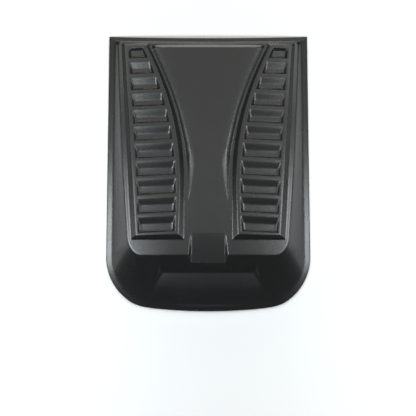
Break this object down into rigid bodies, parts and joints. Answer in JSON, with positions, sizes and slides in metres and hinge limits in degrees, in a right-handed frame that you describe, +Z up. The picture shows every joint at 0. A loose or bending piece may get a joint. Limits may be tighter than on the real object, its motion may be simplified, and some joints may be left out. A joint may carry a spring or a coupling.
{
  "type": "car bonnet vent",
  "caption": "Moulded stick-on bonnet scoop with raised louvre banks, a waisted centre panel, a hollow front mouth and foam tape under its rim.",
  "frame": {"origin": "middle of the base, on the surface that the foam tape rests on", "axes": "+X across the bonnet, +Y towards the windscreen, +Z up, away from the bonnet"},
  "size_m": [0.64, 0.86, 0.0838],
  "materials": {
    "moulding": "satin moulded black, unpainted",
    "foam_tape": "foam tape with its release liner on"
  },
  "bodies": {
    "root": {"panel": "moulding", "tape_left": "foam_tape", "tape_right": "foam_tape", "tape_front": "foam_tape", "tape_rear": "foam_tape"}
  },
  "joints": []
}
